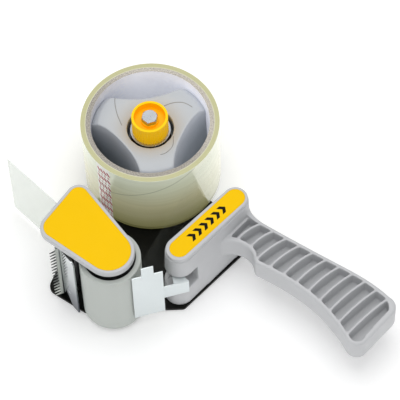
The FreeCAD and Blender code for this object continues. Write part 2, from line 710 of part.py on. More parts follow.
def post_screws():
    """Three countersunk screws that hold the post's flange on the plate."""
    return Part.makeCompound([flush_screw(x, y, POST_SCREW_R, POST_SCREW_HEAD_R, POST_SCREW_TOP)
                              for x, y in POST_SCREWS])


def thrust_washer():
    return tube(12.5, POST_R + RUN, POST_FLANGE_TOP + FIT, HUB_Z0 - FIT)


def vane_wire(half, waist, z):
    """The hub's outline at one height: three vanes joined by hollow flanks."""
    edges = []
    for angle in VANE_ANGLES:
        following = angle + 360 / len(VANE_ANGLES)
        edges.append(arc(0, 0, HUB_R, angle - half, angle + half))
        edges.append(Part.Arc(polar(angle + half, HUB_R), polar(angle + 60, waist),
                              polar(following - half, HUB_R)).toShape())
    wire = Part.Wire(Part.__sortEdges__(edges))
    wire.translate(UP * z)
    return wire


def core_hub():
    """Three wide vanes with sloping hollow flanks, a base disc, and a round well for the brake."""
    blank = Part.makeLoft([vane_wire(VANE_FOOT_HALF, WAIST_FOOT_R, HUB_Z0),
                           vane_wire(VANE_HALF, WAIST_R, TAPE_TOP)], True, True)
    crown_r = HUB_WELL_R + 0.5
    profile = [(0, HUB_RIM), (0, HUB_Z0), (HUB_R, HUB_Z0), (HUB_R, HUB_SHOULDER), (HUB_EDGE_R, HUB_EDGE)]
    points = [Vector(r, 0, z) for r, z in profile]
    inner = Vector(crown_r, 0, HUB_RIM)
    crown = Part.Arc(points[-1], Vector(HUB_CREST_R, 0, HUB_CREST), inner).toShape()
    rest = [line(a, b) for a, b in zip(points, points[1:])]
    section = Part.Wire(Part.__sortEdges__(rest + [crown, line(inner, points[0])]))
    dome = Part.Face(section).revolve(ORIGIN, UP, 360)
    hub = blank.common(dome).fuse(cylinder(HUB_R - 1.5, HUB_Z0, HUB_Z0 + HUB_DISC)).removeSplitter()
    hub = hub.cut(cylinder(HUB_WELL_R, HUB_FLOOR, TAPE_TOP))
    return hub.cut(cylinder(HUB_BUSH_R, HUB_Z0 - 1, TAPE_TOP))


def hub_bush():
    return tube(HUB_BUSH_R - FIT, POST_R + RUN, HUB_Z0, HUB_FLOOR)


def cardboard_core():
    return tube(CORE_OUTER_R, CORE_INNER_R, TAPE_Z, TAPE_TOP)


def tape_winding():
    return tube(TAPE_OUTER_R, CORE_OUTER_R, TAPE_Z, TAPE_TOP)


def friction_washer():
    """Washer pressed on the post that rubs on the floor of the hub's well."""
    return tube(BRAKE_WASHER_R, POST_R + FIT, HUB_FLOOR + RUN, FRICTION_TOP)


def brake_spring():
    return coil(BRAKE_SPRING_R, BRAKE_SPRING_WIRE, FRICTION_TOP + FIT, WASHER_Z0 - FIT, BRAKE_SPRING_HALVES)


def pressure_washer():
    return tube(BRAKE_WASHER_R, BOLT_R + 0.3, WASHER_Z0, WASHER_Z1)


def brake_knob():
    """Knurled knob with a dished top and a boss under the bolt's head."""
    knob = cylinder(KNOB_R, KNOB_Z0, KNOB_Z1)
    seat = KNOB_Z1 - BOLT_HEAD
    dish = cylinder(KNOB_R - KNOB_RIM, KNOB_Z1 - KNOB_DISH, KNOB_Z1 + 1)
    knob = knob.cut(dish.cut(cylinder(KNOB_BOSS_R, KNOB_Z0, seat)))
    grooves = []
    for i in range(KNOB_GROOVES):
        p = polar(360.0 * i / KNOB_GROOVES, KNOB_R + 0.25)
        grooves.append(cylinder(KNOB_GROOVE_R, KNOB_Z0 - 1, KNOB_Z1 - 1.6, p.x, p.y))
    knob = knob.cut(Part.makeCompound(grooves))
    return knob.cut(cylinder(BOLT_R + FIT, KNOB_Z0 - 1, KNOB_Z1 + 1))


def knob_bolt():
    """Hexagon bolt fixed in the knob; its shank screws into the post."""
    seat = KNOB_Z1 - BOLT_HEAD
    head = hexagon(BOLT_ACROSS, seat, KNOB_Z1 + 0.5)
    bevel_z = seat + 0.8
    bevel = Part.makeCone(7.4, 4.7, KNOB_Z1 + 0.5 - bevel_z, Vector(0, 0, bevel_z))
    head = head.common(bevel.fuse(cylinder(7.4, seat, bevel_z)))
    return head.fuse(cylinder(BOLT_R, BOLT_END, seat)).removeSplitter()


# ---- tape in the dispenser ----------------------------------------------------------------------
def tape_web():
    """The free tape: off the roll, round the roller, back round the guide post and out as a tail."""
    roll_r = TAPE_OUTER_R + RUN + FILM / 2
    front_r = ROLLER_R + RUN + FILM / 2
    guide_r = GUIDE_R + RUN + FILM / 2
    reach = math.hypot(ROLLER_X, ROLLER_Y)
    first = direction((0, 0), (ROLLER_X, ROLLER_Y)) + math.degrees(math.acos((roll_r - front_r) / reach))
    span = math.hypot(GUIDE_X - ROLLER_X, GUIDE_Y - ROLLER_Y)
    second = direction((ROLLER_X, ROLLER_Y), (GUIDE_X, GUIDE_Y)) % 360
    second += math.degrees(math.acos((front_r + guide_r) / span))
    last = TAIL_ANGLE - 90
    faces = []
    for offset in (FILM / 2, -FILM / 2):
        front = front_r + offset
        guide = guide_r - offset
        tail = polar(last, guide, GUIDE_X, GUIDE_Y)
        edges = [line(polar(first, roll_r + offset), polar(first, front, ROLLER_X, ROLLER_Y)),
                 arc(ROLLER_X, ROLLER_Y, front, first, second - 360),
                 line(polar(second, front, ROLLER_X, ROLLER_Y), polar(second + 180, guide, GUIDE_X, GUIDE_Y)),
                 arc(GUIDE_X, GUIDE_Y, guide, second - 180, last),
                 line(tail, along(tail.x, tail.y, TAIL_ANGLE, TAIL_LENGTH, 0))]
        faces.append(edges)
    outer, inner = faces
    ends = [line(polar(first, roll_r + FILM / 2), polar(first, roll_r - FILM / 2)),
            line(outer[-1].Vertexes[1].Point, inner[-1].Vertexes[1].Point)]
    return prism(outer + inner + ends, TAPE_Z, TAPE_TOP)


NODES = [side_plate, roller_axle, cover_post, guide_post, head_bracket, blade_holder, holder_rivets,
         cutting_blade, blade_rivets, head_cover, head_label, cover_screws, plate_screws, handle_body,
         handle_inserts, handle_cap, handle_label, tape_leaf, leaf_pin, leaf_spring, roller_sleeve,
         roller_bushes, roller_spacers, hub_post, post_screws, thrust_washer, core_hub, hub_bush,
         cardboard_core, tape_winding, friction_washer, brake_spring, pressure_washer, brake_knob,
         knob_bolt, tape_web]


def main():
    os.makedirs("parts", exist_ok=True)
    for make in NODES:
        make().exportStep("parts/" + make.__name__ + ".step")


main()
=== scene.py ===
"""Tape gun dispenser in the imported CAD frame: materials, moulded surfaces, light and camera. Metres."""

import math

import bmesh
import bpy
from mathutils import Matrix, Vector
from mathutils.bvhtree import BVHTree


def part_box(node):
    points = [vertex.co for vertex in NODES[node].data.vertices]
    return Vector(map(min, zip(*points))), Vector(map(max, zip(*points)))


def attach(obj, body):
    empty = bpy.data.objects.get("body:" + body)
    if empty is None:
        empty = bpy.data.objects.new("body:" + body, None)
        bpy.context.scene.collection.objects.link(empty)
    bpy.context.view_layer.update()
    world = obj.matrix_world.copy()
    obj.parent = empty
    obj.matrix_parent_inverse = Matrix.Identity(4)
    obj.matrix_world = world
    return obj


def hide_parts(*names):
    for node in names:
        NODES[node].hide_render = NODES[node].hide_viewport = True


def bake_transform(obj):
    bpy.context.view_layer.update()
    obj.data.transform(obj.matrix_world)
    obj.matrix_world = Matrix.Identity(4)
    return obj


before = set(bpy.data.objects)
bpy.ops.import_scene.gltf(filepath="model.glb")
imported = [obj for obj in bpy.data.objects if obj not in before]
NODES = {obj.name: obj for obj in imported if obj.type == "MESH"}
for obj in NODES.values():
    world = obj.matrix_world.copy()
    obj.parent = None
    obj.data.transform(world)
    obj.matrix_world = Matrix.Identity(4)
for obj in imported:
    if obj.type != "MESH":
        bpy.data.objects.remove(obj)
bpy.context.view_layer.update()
MM = 0.001

# The outer wrap's joint: its lower edge climbs round the roll, heights in millimetres, azimuths in degrees.
SEAM_Z, SEAM_AZIMUTH, SEAM_RISE = 39.2, -79.8, 0.329
TAB_AZIMUTH = -90.2
# The paler patch on the roll's right: its edge falls 40.5 mm over 13 degrees.
PATCH_Z, PATCH_AZIMUTH, PATCH_FALL = 62.0, -11.5, 40.5 / 13.0


# ---- colours and node trees ---------------------------------------------------------------------
def lin(r, g, b):
    """A display colour, 0 to 255, as linear light."""
    out = []
    for v in (r, g, b):
        v /= 255
        out.append(v / 12.92 if v <= 0.04045 else ((v + 0.055) / 1.055) ** 2.4)
    return out[0], out[1], out[2], 1.0


class Tree:
    """A material's node tree with short ways to add nodes."""

    def __init__(self, name):
        self.material = bpy.data.materials.new(name)
        self.material.use_nodes = True
        self.tree = self.material.node_tree
        self.shader = self.tree.nodes["Principled BSDF"]
        self.point = self.add("ShaderNodeTexCoord").outputs["Object"]

    def add(self, kind, inputs=None, **settings):
        node = self.tree.nodes.new(kind)
        for key, value in settings.items():
            setattr(node, key, value)
        for key, value in (inputs or {}).items():
            self.put(node.inputs[key], value)
        return node

    def put(self, socket, value):
        if isinstance(value, bpy.types.NodeSocket):
            self.tree.links.new(value, socket)
        else:
            socket.default_value = value

    def set(self, **values):
        for key, value in values.items():
            self.put(self.shader.inputs[key.replace("_", " ")], value)

    def calc(self, operation, a, b=0.0, c=0.0):
        return self.add("ShaderNodeMath", {0: a, 1: b, 2: c}, operation=operation).outputs[0]

    def noise(self, scale, detail=2.0, stretch=(1, 1, 1), distortion=0.0):
        place = self.add("ShaderNodeMapping", {"Vector": self.point, "Scale": stretch})
        return self.add("ShaderNodeTexNoise", {"Vector": place.outputs[0], "Scale": scale, "Detail": detail,
                                               "Distortion": distortion}).outputs["Fac"]

    def span(self, value, low, high, to_low=0.0, to_high=1.0):
        return self.add("ShaderNodeMapRange", {"Value": value, "From Min": low, "From Max": high,
                                               "To Min": to_low, "To Max": to_high}).outputs["Result"]

    def mix(self, factor, a, b):
        node = self.add("ShaderNodeMix", data_type="RGBA")
        self.put(node.inputs["Factor"], factor)
        self.put(node.inputs[6], a)
        self.put(node.inputs[7], b)
        return node.outputs[2]

    def ramp(self, value, stops):
        node = self.add("ShaderNodeValToRGB", {"Fac": value})
        ramp = node.color_ramp
        while len(ramp.elements) < len(stops):
            ramp.elements.new(0.5)
        for element, (at, colour) in zip(ramp.elements, stops):
            element.position = at
            element.color = colour
        return node.outputs["Color"]

    def cylindrical(self):
        """Radius from the roll's axis, azimuth in degrees and height, in millimetres."""
        parts = self.add("ShaderNodeSeparateXYZ", {0: self.point}).outputs
        x = self.calc("MULTIPLY", parts["X"], 1000.0)
        y = self.calc("MULTIPLY", parts["Y"], 1000.0)
        z = self.calc("MULTIPLY", parts["Z"], 1000.0)
        r = self.calc("SQRT", self.calc("MULTIPLY_ADD", x, x, self.calc("MULTIPLY", y, y)))
        azimuth = self.calc("MULTIPLY", self.calc("ARCTAN2", y, x), 180 / math.pi)
        return r, azimuth, z

    def up(self):
        normal = self.add("ShaderNodeNewGeometry").outputs["Normal"]
        return self.add("ShaderNodeSeparateXYZ", {0: normal}).outputs["Z"]

    def relief(self, height, distance, bevel):
        inputs = {"Height": height, "Distance": distance, "Strength": 1.0}
        if bevel:
            inputs["Normal"] = self.add("ShaderNodeBevel", {"Radius": bevel}, samples=4).outputs[0]
        self.set(Normal=self.add("ShaderNodeBump", inputs).outputs[0])


def surface(name, colour, rough, metallic=0.0, grain=2600.0, depth=1.5e-5, vary=0.05, wear=0.06,
            bevel=0.35 * MM, stretch=(1, 1, 1), shine=0.5, glow=0.0, paint=None):
    """A painted, moulded or metal surface with slow colour drift, patchy roughness and fine relief."""
    t = Tree(name)
    slow = t.noise(38.0, 4.0, distortion=0.4)
    base = paint(t) if paint else colour
    darker = t.mix(1.0, base, (1 - 2 * vary, 1 - 2 * vary, 1 - 2 * vary, 1))
    darker.node.blend_type = "MULTIPLY"
    fine = t.noise(grain, 3.0, stretch)
    drift = t.calc("MULTIPLY_ADD", slow, 0.8, t.calc("MULTIPLY", fine, 0.2))
    final = t.mix(t.span(drift, 0.3, 0.7), base, darker)
    t.set(Base_Color=final, Metallic=metallic, Specular_IOR_Level=shine)
    # A glow is painted light: an emission on a surface that is no lamp.
    if glow:
        t.set(Emission_Color=final, Emission_Strength=glow(t) if callable(glow) else glow)
    t.set(Roughness=t.span(t.noise(160.0, 4.0), 0.3, 0.7, rough - wear, rough + wear))
    t.relief(fine, depth, bevel)
    return t.material


# ---- materials ----------------------------------------------------------------------------------
def paint_knob(t):
    """Amber, brighter on the rim and deeper inside the cup."""
    r, _, z = t.cylindrical()
    inside = t.calc("MULTIPLY", t.calc("LESS_THAN", r, 10.15), t.calc("GREATER_THAN", z, 60.0))
    rim = t.calc("GREATER_THAN", z, 69.6)
    wall = t.mix(rim, lin(255, 200, 0), lin(252, 208, 0))
    return t.mix(inside, wall, lin(250, 184, 0))


def paint_core(t):
    """Speckled board on the cut ends and a pale liner inside."""
    speckle = t.noise(1500.0, 5.0)
    cut = t.ramp(speckle, [(0.3, lin(120, 116, 108)), (0.5, lin(172, 166, 156)), (0.7, lin(205, 200, 190))])
    liner = t.mix(t.span(t.noise(420.0, 3.0), 0.3, 0.7), lin(232, 233, 240), lin(222, 224, 234))
    return t.mix(t.calc("GREATER_THAN", t.up(), 0.5), liner, cut)


def paint_hub_shade(t):
    """Light grey on the crown, with painted shade that darkens the hollows between the vanes lower down."""
    _, _, z = t.cylindrical()
    height = t.calc("MULTIPLY_ADD", t.noise(60.0, 3.0), 6.0, z)
    return t.ramp(t.span(height, 0.0, 64.0), [(0.25, lin(96, 104, 106)), (0.62, lin(136, 143, 147)),
                                              (0.86, lin(176, 181, 185)), (0.93, lin(196, 200, 204))])


def core_painted_glow(t):
    """Painted light: an emission that grows towards the board's far side, where it looks bright."""
    y = t.add("ShaderNodeSeparateXYZ", {0: t.point}).outputs["Y"]
    return t.span(y, -0.01, 0.022, 0.02, 0.42)


def paint_blade(t):
    """Ground teeth with painted light: painted shade high up, where they stand before the pale surroundings,
    and a painted highlight low down.
    """
    parts = t.add("ShaderNodeSeparateXYZ", {0: t.point}).outputs
    teeth = t.span(parts["Y"], -0.1078, -0.1068, 1.0, 0.0)
    # Painted shade high on the teeth, painted highlight low down.
    tone = t.mix(t.span(parts["Z"], 0.012, 0.024), lin(214, 218, 210), lin(84, 88, 86))
    return t.mix(teeth, lin(176, 181, 174), tone)


def paint_panel(t):
    """Painted reflection: bright at the top and darker towards the black plate, the plate mirrored in the
    polished sheet beside it.
    """
    _, _, z = t.cylindrical()
    ripple = t.calc("MULTIPLY_ADD", t.noise(70.0, 3.0, (1, 1, 0.3)), 14.0, z)
    return t.ramp(t.span(ripple, 0.0, 72.0), [(0.12, lin(66, 72, 84)), (0.34, lin(128, 134, 142)),
                                              (0.6, lin(190, 196, 198)), (1.0, lin(214, 218, 219))])


def tape_material():
    """Clear film wound in layers: the sides carry painted shade, pale at the top and olive at the foot, and a
    painted glow.
    """
    t = Tree("wound_tape")
    r, azimuth, z = t.cylindrical()
    # Painted shade: the sides darken from pale at the top to olive at the foot.
    height = t.span(z, 4.0, 64.0)
    body = t.ramp(height, [(0.0, lin(126, 124, 74)), (0.05, lin(156, 152, 104)), (0.45, lin(196, 192, 156)),
                           (0.8, lin(208, 212, 188)), (1.0, lin(216, 221, 203))])
    edge = t.calc("MULTIPLY_ADD", azimuth, -PATCH_FALL, PATCH_Z + PATCH_AZIMUTH * PATCH_FALL)
    patch = t.calc("GREATER_THAN", z, edge)
    patch = t.calc("MULTIPLY", patch, t.calc("LESS_THAN", t.calc("ABSOLUTE", azimuth), 80.0))
    body = t.mix(t.calc("MULTIPLY", patch, 0.55), body, lin(228, 230, 212))
    seam_z = t.calc("MULTIPLY_ADD", azimuth, SEAM_RISE, SEAM_Z - SEAM_AZIMUTH * SEAM_RISE)
    off = t.calc("ABSOLUTE", t.calc("SUBTRACT", z, seam_z))
    seam = t.calc("MULTIPLY", t.span(off, 0.15, 0.55, 1.0, 0.0),
                  t.calc("LESS_THAN", t.calc("ABSOLUTE", t.calc("ADD", azimuth, 46.0)), 38.0))
    body = t.mix(t.calc("MULTIPLY", seam, 0.55), body, lin(128, 134, 112))
    tab = t.span(t.calc("ABSOLUTE", t.calc("SUBTRACT", azimuth, TAB_AZIMUTH)), 6.9, 7.3, 0.75, 0.0)
    body = t.mix(tab, body, lin(226, 226, 226))
    low = t.span(t.calc("ABSOLUTE", t.calc("SUBTRACT", z, 6.2)), 0.2, 0.7, 1.0, 0.0)
    body = t.mix(t.calc("MULTIPLY", low, 0.6), body, lin(84, 84, 46))
    bands = t.noise(30.0, 4.0, (0.15, 0.15, 12.0))
    shade = t.mix(1.0, body, (0.94, 0.94, 0.92, 1))
    shade.node.blend_type = "MULTIPLY"
    side = t.mix(t.span(bands, 0.35, 0.65), body, shade)
    ring = t.calc("FRACT", t.calc("MULTIPLY", r, 2.2))
    ring = t.span(t.calc("ABSOLUTE", t.calc("SUBTRACT", ring, 0.5)), 0.0, 0.5)
    top = t.mix(ring, lin(217, 215, 170), lin(203, 201, 148))
    inner = t.calc("LESS_THAN", r, 41.5)
    top = t.mix(inner, top, lin(228, 226, 196))
    upward = t.calc("GREATER_THAN", t.up(), 0.5)
    t.set(Base_Color=t.mix(upward, side, top), Roughness=0.16)
    # Painted light: the sides glow, standing in for light carried through the film.
    t.set(Emission_Color=side, Emission_Strength=t.span(upward, 0.0, 1.0, 0.3, 0.0))
    t.set(Coat_Weight=0.3, Coat_Roughness=0.05)
    wraps = t.noise(90.0, 5.0, (0.4, 0.4, 5.0), 0.6)
    t.relief(wraps, 2.5e-5, 0.0)
    return t.material


def web_material():
    """Clear film: all but invisible where it runs in the tool, milky along the free tail."""
    t = Tree("clear_film")
    x = t.add("ShaderNodeSeparateXYZ", {0: t.point}).outputs["X"]
    t.set(Base_Color=lin(236, 243, 234), Roughness=t.span(t.noise(120.0, 3.0), 0.3, 0.7, 0.1, 0.25))
    t.set(Alpha=t.span(x, 0.006, 0.016, 0.4, 0.012), Specular_IOR_Level=0.35)
    t.relief(t.noise(60.0, 4.0, (1, 1, 0.3), 0.5), 1e-4, 0.0)
    return t.material


GREY = lin(200, 201, 203)
MATERIALS = {
    "moulding": surface("grey_moulding", GREY, 0.42, vary=0.02, depth=2.2e-5, grain=1500.0),
    "hub": surface("hub_moulding", GREY, 0.4, vary=0.03, depth=2.2e-5, grain=1500.0, paint=paint_hub_shade),
    "roller": surface("roller_moulding", lin(194, 199, 194), 0.55, vary=0.03, depth=3e-5, grain=1800.0),
    "label": surface("yellow_film", lin(255, 204, 0), 0.45, vary=0.015, depth=6e-6, bevel=0.1 * MM,
                     shine=0.08),
    "ink": surface("black_ink", lin(26, 23, 18), 0.6, shine=0.1, vary=0.1, depth=4e-6, bevel=0.0),
    "red_ink": surface("red_ink", lin(198, 14, 48), 0.5, vary=0.1, depth=4e-6, bevel=0.0),
    "line": surface("flow_line", lin(150, 148, 142), 0.5, vary=0.1, depth=4e-6, bevel=0.0),
    "black_steel": surface("black_coat", lin(16, 17, 14), 0.4, vary=0.1, grain=900.0, depth=2.5e-5,
                           shine=0.12),
    "steel": surface("zinc_plate", lin(186, 190, 194), 0.3, 1.0, stretch=(1, 1, 0.1), depth=8e-6),
    "polished": surface("polished_sheet", GREY, 0.09, 1.0, grain=4000.0, stretch=(1, 1, 0.05),
                        depth=3e-6, wear=0.04, paint=paint_panel),
    "blade": surface("ground_blade", GREY, 0.34, 0.45, grain=5000.0, stretch=(1, 1, 12), depth=6e-6,
                     paint=paint_blade),
    "zinc": surface("satin_zinc", lin(226, 233, 234), 0.36, 0.55, grain=2200.0, depth=1e-5, vary=0.03),
    "spring": surface("drawn_wire", lin(150, 152, 154), 0.3, 1.0, depth=8e-6, bevel=0.0),
    "black_plastic": surface("black_moulding", lin(22, 22, 24), 0.5, vary=0.1),
    "brass": surface("turned_brass", lin(200, 168, 100), 0.3, 1.0),
    "fibre": surface("pressed_fibre", lin(74, 58, 46), 0.85, grain=900.0, depth=8e-5, vary=0.2),
    # The knob's glow is painted light, an emission on a part that is no lamp.
    "knob": surface("amber_moulding", GREY, 0.4, vary=0.02, paint=paint_knob, shine=0.2, glow=0.17),
    "core": surface("grey_board", GREY, 0.8, vary=0.05, paint=paint_core, grain=1200.0, depth=6e-5,
                    bevel=0.2 * MM, glow=core_painted_glow),
    "tape": tape_material(),
    "web": web_material(),
}

WEARS = {
    "black_steel": ["side_plate", "head_bracket"],
    "steel": ["roller_axle", "cover_post", "holder_rivets", "blade_rivets", "cover_screws", "plate_screws",
              "leaf_pin", "hub_post", "post_screws", "pressure_washer", "knob_bolt"],
    "black_plastic": ["guide_post", "roller_spacers", "thrust_washer", "hub_bush", "roller_bushes"],
    "polished": ["blade_holder"],
    "blade": ["cutting_blade"],
    "moulding": ["head_cover", "handle_body", "handle_cap"],
    "hub": ["core_hub"],
    "roller": ["roller_sleeve"],
    "label": ["head_label", "handle_label"],
    "zinc": ["tape_leaf"],
    "spring": ["leaf_spring", "brake_spring"],
    "brass": ["handle_inserts"],
    "fibre": ["friction_washer"],
    "knob": ["brake_knob"],
    "core": ["cardboard_core"],
    "tape": ["tape_winding"],
    "web": ["tape_web"],
}


def dress(obj, key):
    """Give the object one material, by its key."""
    obj.data.materials.clear()
    obj.data.materials.append(MATERIALS[key])


for key, names in WEARS.items():
    for name in names:
        if name in NODES:
            dress(NODES[name], key)


# ---- mesh pieces --------------------------------------------------------------------------------
def piece(name, points, faces, key, body, smooth=True):
    """A new mesh object that wears a material and rides on a body."""
    mesh = bpy.data.meshes.new(name)
    mesh.from_pydata(points, [], faces)
    mesh.update()
    obj = bpy.data.objects.new(name, mesh)
    bpy.context.scene.collection.objects.link(obj)
    if smooth:
        mesh.shade_smooth()
    dress(obj, key)
    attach(obj, body)
    return obj


def add_root_fairing(mesh):
    """A closed wedge in the corner where the grip's far edge leaves the stalk, concave on both free sides."""
    form = bmesh.new()
    form.from_mesh(mesh)
    from_stalk, corner, to_grip = Vector((80.2, 4.0)), Vector((83.2, 1.9)), Vector((92.0, 2.9))
    inner_start, inner_end = Vector((79.5, -2.0)), Vector((92.0, 0.6))
    foot, rim, rise, round_off = 22.0, 38.9, 7.0, 0.7
    stations = []
    rows = 12
    for i in range(rows + 1):
        t = i / rows
        outer = from_stalk * (1 - t) ** 2 + corner * 2 * t * (1 - t) + to_grip * t * t
        inner = inner_start.lerp(inner_end, t)
        top = rim + rise * (1 - t) ** 2
        ring = [(inner, foot), (outer, foot), (outer, top - round_off), (inner, top)]
        stations.append([form.verts.new((p.x * MM, p.y * MM, z * MM)) for p, z in ring])
    for a, b in zip(stations, stations[1:]):
        for k in range(4):
            form.faces.new((a[k], b[k], b[k - 1], a[k - 1]))
    form.faces.new(stations[0])
    form.faces.new(reversed(stations[-1]))
    form.to_mesh(mesh)
    form.free()


def moulded(node, name, key, body, voxel, passes, share, extra=None):
    """The CAD node again with its edges and inner corners rounded off as a moulding's are."""
    source = bpy.data.objects.new(name, NODES[node].data.copy())
    if extra:
        extra(source.data)
    bpy.context.scene.collection.objects.link(source)
    weld = source.modifiers.new("weld", "WELD")
    weld.merge_threshold = 1e-6
    skin = source.modifiers.new("skin", "REMESH")
    skin.mode = "VOXEL"
    skin.voxel_size = voxel
    skin.use_smooth_shade = True
    relax = source.modifiers.new("relax", "SMOOTH")
    relax.factor = 0.5
    relax.iterations = passes
    thin = source.modifiers.new("thin", "DECIMATE")
    thin.ratio = share
    depsgraph = bpy.context.evaluated_depsgraph_get()
    mesh = bpy.data.meshes.new_from_object(source.evaluated_get(depsgraph))
    source.modifiers.clear()
    source.data = mesh
    mesh.shade_smooth()
    dress(source, key)
    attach(source, body)
    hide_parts(node)
    return source


def tree_of(obj):
    """A search tree of the object's faces, for casting rays on to it."""
    points = [v.co.copy() for v in obj.data.vertices]
    return BVHTree.FromPolygons(points, [tuple(p.vertices) for p in obj.data.polygons])


def tube_along(path, radius, sides=8):
    """Points and faces of a round thread along a path, with closed ends."""
    points, faces = [], []
    for i, p in enumerate(path):
        ahead = (path[min(i + 1, len(path) - 1)] - path[max(i - 1, 0)]).normalized()
        side = ahead.cross(Vector((0, 0, 1)))
        side = side.normalized() if side.length > 1e-6 else Vector((1, 0, 0))
        lift = side.cross(ahead)
        for k in range(sides):
            a = 2 * math.pi * k / sides
            points.append(p + radius * (side * math.cos(a) + lift * math.sin(a)))
    for i in range(len(path) - 1):
        for k in range(sides):
            n = (k + 1) % sides
            faces.append((i * sides + k, (i + 1) * sides + k, (i + 1) * sides + n, i * sides + n))
    faces.append(tuple(range(sides)))
    faces.append(tuple(reversed(range((len(path) - 1) * sides, len(path) * sides))))
    return points, faces


handle = moulded("handle_body", "handle_moulding", "moulding", "root", 0.5 * MM, 5, 0.28, add_root_fairing)
hub = moulded("core_hub", "hub_moulding", "hub", "roll", 0.5 * MM, 7, 0.4)


def brake_coil():
    """The brake's spring, copied from the CAD spring in its place."""
    coil = bpy.data.objects.new("brake_coil", NODES["brake_spring"].data.copy())
    bpy.context.scene.collection.objects.link(coil)
    dress(coil, "spring")
    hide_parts("brake_spring")
    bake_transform(coil)
    return coil


brake_coil()


# ---- wound tape ---------------------------------------------------------------------------------
low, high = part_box("tape_winding")
TAPE_R = (high[0] - low[0]) / 2
Z0, Z1 = low[2], high[2]
low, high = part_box("cardboard_core")
CORE_R = (high[0] - low[0]) / 2


def wound_tape():
    """A ring of film: fine steps between the turns on its ends, and a slightly uneven outer wrap."""
    turns, rows, steps = 14, 60, 256
    round_off, groove = 0.15 * MM, 0.12 * MM
    across = TAPE_R - round_off - CORE_R
    profile = []
    for i in range(2 * turns + 1):
        r = CORE_R + across * i / (2 * turns)
        profile.append((r, Z1 - (groove if i % 2 else 0.0)))
    for i in range(rows + 1):
        z = Z1 - groove - (Z1 - Z0 - 2 * groove) * i / rows
        profile.append((TAPE_R, z))
    for i in range(2 * turns + 1):
        r = TAPE_R - round_off - across * i / (2 * turns)
        profile.append((r, Z0 + (groove if i % 2 else 0.0)))
    points, faces = [], []
    count = len(profile)
    for s in range(steps):
        a = 2 * math.pi * s / steps
        degrees = math.degrees(a)
        degrees = degrees - 360 if degrees > 180 else degrees
        for r, z in profile:
            if r >= TAPE_R - 1e-9:
                z_mm = z / MM
                seam = SEAM_Z + (degrees - SEAM_AZIMUTH) * SEAM_RISE
                r -= 0.04 * MM * (z_mm < seam)
                r -= 0.02 * MM * (1 + math.sin(0.9 * z_mm + 3 * a))
            points.append((r * math.cos(a), r * math.sin(a), z))
    for s in range(steps):
        n = (s + 1) % steps
        for k in range(count):
            m = (k + 1) % count
            faces.append((s * count + k, s * count + m, n * count + m, n * count + k))
    obj = piece("wound_tape", points, faces, "tape", "roll")
    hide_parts("tape_winding")
    return obj


wound_tape()


def printed_dashes():
    """Pairs of staggered rows of short slanted dashes down the film's joint tab."""
    top, cluster_pitch, row_drop = 59.5, 8.7, 5.2
    first, dash_pitch, row_shift = -96.8, 3.4, 1.2
    points, faces = [], []
    for cluster in range(7):
        for row in range(2):
            for k in range(4):
                z = top - cluster_pitch * cluster - row_drop * row
                start = first + dash_pitch * k + row_shift * row
                width, height, slant = (0.9, 1.8, 0.9) if row else (1.8, 3.6, 2.4)
                corners = [(0.0, 0.0), (width, 0.0), (width + slant, -height), (slant, -height)]
                base = len(points)
                for radius in (TAPE_R - 0.05 * MM, TAPE_R + 0.04 * MM):
                    for da, dz in corners:
                        a = math.radians(start + da)
                        points.append((radius * math.cos(a), radius * math.sin(a), (z + dz) * MM))
                box = [(4, 5, 1, 0), (5, 6, 2, 1), (6, 7, 3, 2), (7, 4, 0, 3), (7, 6, 5, 4), (0, 1, 2, 3)]
                faces += [tuple(base + i for i in face) for face in box]
    return piece("tape_dashes", points, faces, "red_ink", "roll", False)


printed_dashes()


# ---- lines on the mouldings ---------------------------------------------------------------------
def through(corners, steps):
    """Places along a smooth curve through the corners, with so many steps from each corner to the next."""
    places = []
    for i in range(len(corners) - 1):
        p0, p1, p2 = corners[max(i - 1, 0)], corners[i], corners[i + 1]
        p3 = corners[min(i + 2, len(corners) - 1)]
        for k in range(steps):
            f = k / steps
            bend = (2 * p0 - 5 * p1 + 4 * p2 - p3) * f * f
            twist = (3 * p1 - p0 - 3 * p2 + p3) * f ** 3
            places.append(0.5 * (2 * p1 + (p2 - p0) * f + bend + twist))
    return places


def hub_lines():
    """Thin raised flow lines left on the hub's vanes."""
    surface_tree = tree_of(hub)
    arcs = [[(-32.8, 2.7), (-28.8, -2.1), (-22.0, -7.4), (-13.8, -11.5)],
            [(-4.1, 17.5), (-0.2, 23.0), (5.0, 27.0), (11.5, 28.1)],
            [(15.4, 4.9), (20.7, -1.5), (21.2, -8.2), (19.3, -11.9)]]
    above, down = 80.0 * MM, Vector((0, 0, -1))
    points, faces = [], []
    for arc in arcs:
        path = []
        for x, y in through([Vector(p) for p in arc], 8):
            hit = surface_tree.ray_cast(Vector((x * MM, y * MM, above)), down)[0]
            if hit:
                path.append(hit)
        if len(path) > 2:
            more, rings = tube_along(path, 0.22 * MM)
            base = len(points)
            points += more
            faces += [tuple(base + i for i in ring) for ring in rings]
    return piece("hub_flow_lines", points, faces, "line", "roll")


hub_lines()


def stalk_ridge():
    """The mould's parting ridge up the front of the stalk."""
    surface_tree = tree_of(handle)
    x, before, foot, length, count = 67.5 * MM, -120.0 * MM, 3.0 * MM, 48.0 * MM, 40
    path = []
    for i in range(count):
        start = Vector((x, before, foot + length * i / (count - 1)))
        hit = surface_tree.ray_cast(start, Vector((0, 1, 0)))[0]
        if hit:
            path.append(hit)
    points, faces = tube_along(path, 0.3 * MM)
    return piece("stalk_parting_ridge", points, faces, "moulding", "root")


stalk_ridge()


